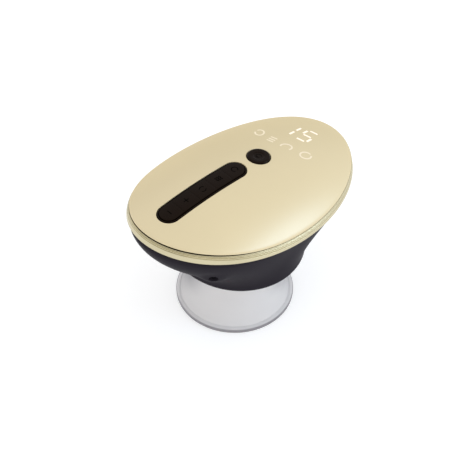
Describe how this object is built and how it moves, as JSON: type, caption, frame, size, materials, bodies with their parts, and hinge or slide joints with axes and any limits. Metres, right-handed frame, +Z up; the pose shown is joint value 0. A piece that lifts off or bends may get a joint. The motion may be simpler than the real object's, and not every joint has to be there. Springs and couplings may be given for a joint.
{
  "type": "suction cup body massager",
  "caption": "Hand-held electric suction-cup body massager: oval head with domed cover, key strip, power key and lit display, on a flared cup that twists off.",
  "frame": {"origin": "on the table, under the middle of the head's footprint", "axes": "+X along the head towards the display end, +Y to the left of a user who faces +X, +Z up, away from the skin"},
  "size_m": [0.1219, 0.0798, 0.0822],
  "materials": {
    "gold_cover": "pale champagne-gold plating, satin gloss, thin enough for the display to shine through",
    "gold_trim": "polished champagne-gold plating",
    "charcoal_shell": "charcoal soft-touch coating with a slight purple tint, satin",
    "key_black": "brown-black, glossy, with faint symbols",
    "black_plastic": "moulded, fine texture",
    "white_plastic": "moulded, satin",
    "frosted_cup": "frosted translucent polycarbonate",
    "silicone": "soft, satin",
    "circuit_board": "green solder mask",
    "steel": "brushed",
    "copper": "enamelled copper winding",
    "battery_wrap": "shrink sleeve",
    "lamp_lens": "red translucent lens",
    "lead_red": "insulated lead"
  },
  "bodies": {
    "head": {"top_cover": "gold_cover", "trim_ring": "gold_trim", "inner_frame": "black_plastic", "lower_housing": "charcoal_shell", "keypad_bezel": "key_black", "control_board": "circuit_board", "digit_display": "white_plastic", "display_diffuser": "white_plastic", "charging_jack": "steel", "battery_cell": "battery_wrap", "battery_lead": "lead_red", "pump_motor": "steel", "pump_housing": "black_plastic", "pump_diaphragm": "silicone", "pump_cover": "black_plastic", "pump_bracket": "steel", "valve_base": "black_plastic", "valve_coil": "copper", "valve_spring": "steel", "suction_nipple": "black_plastic", "tee_fitting": "white_plastic", "nipple_hose": "silicone", "pump_hose": "silicone", "valve_hose": "silicone", "cup_seat": "black_plastic", "cup_seal": "silicone", "treatment_plate": "steel", "light_lens": "lamp_lens", "light_board": "circuit_board", "power_switch": "steel", "key_switch_1": "steel", "key_switch_2": "steel", "key_switch_3": "steel", "key_switch_4": "steel", "key_switch_5": "steel", "mode_led_1": "white_plastic", "frame_screw_1": "steel", "mode_led_2": "white_plastic", "frame_screw_2": "steel", "mode_led_3": "white_plastic", "frame_screw_3": "steel", "mode_led_4": "white_plastic", "frame_screw_4": "steel", "seat_screw_1": "steel", "seat_screw_2": "steel", "seat_screw_3": "steel"},
    "power_button": {"power_button": "key_black"},
    "key_1": {"key_1": "key_black"},
    "key_2": {"key_2": "key_black"},
    "key_3": {"key_3": "key_black"},
    "key_4": {"key_4": "key_black"},
    "key_5": {"key_5": "key_black"},
    "pump_rotor": {"motor_shaft": "steel", "eccentric": "white_plastic"},
    "rocker_plate": {"rocker_plate": "white_plastic"},
    "valve_plunger": {"valve_plunger": "steel"},
    "cup_collar": {"cup_collar": "black_plastic"},
    "cup": {"cup": "frosted_cup"}
  },
  "joints": [
    {"name": "power_press", "type": "slide", "parent": "head", "child": "power_button", "axis": [-0.0932, 0, -0.9956], "range_m": [0, 0.0004], "stiffness_N_per_m": 1500, "springref_m": -0.0003},
    {"name": "key_1_press", "type": "slide", "parent": "head", "child": "key_1", "axis": [-0.0932, 0, -0.9956], "range_m": [0, 0.0004], "stiffness_N_per_m": 1500, "springref_m": -0.0003},
    {"name": "key_2_press", "type": "slide", "parent": "head", "child": "key_2", "axis": [-0.0932, 0, -0.9956], "range_m": [0, 0.0004], "stiffness_N_per_m": 1500, "springref_m": -0.0003},
    {"name": "key_3_press", "type": "slide", "parent": "head", "child": "key_3", "axis": [-0.0932, 0, -0.9956], "range_m": [0, 0.0004], "stiffness_N_per_m": 1500, "springref_m": -0.0003},
    {"name": "key_4_press", "type": "slide", "parent": "head", "child": "key_4", "axis": [-0.0932, 0, -0.9956], "range_m": [0, 0.0004], "stiffness_N_per_m": 1500, "springref_m": -0.0003},
    {"name": "key_5_press", "type": "slide", "parent": "head", "child": "key_5", "axis": [-0.0932, 0, -0.9956], "range_m": [0, 0.0004], "stiffness_N_per_m": 1500, "springref_m": -0.0003},
    {"name": "cup_twist", "type": "hinge", "parent": "head", "child": "cup_collar", "pos_m": [-0.0054, 0, 0.035], "axis": [0, 0, 1], "range_deg": [0, 30]},
    {"name": "cup_pull", "type": "slide", "parent": "cup_collar", "child": "cup", "axis": [0, 0, -1], "range_m": [0, 0.02]},
    {"name": "pump_spin", "type": "hinge", "parent": "head", "child": "pump_rotor", "pos_m": [-0.0054, 0, 0.054], "axis": [1, 0, 0], "continuous": true},
    {"name": "rocker_tilt", "type": "hinge", "parent": "head", "child": "rocker_plate", "pos_m": [-0.0203, 0, 0.054], "axis": [0, 1, 0], "range_deg": [-3, 3], "stiffness_Nm_per_rad": 0.02},
    {"name": "valve_lift", "type": "slide", "parent": "head", "child": "valve_plunger", "axis": [0, 0, 1], "range_m": [0, 0.001], "stiffness_N_per_m": 150, "springref_m": -0.0015, "deforming": ["valve_spring"]}
  ]
}
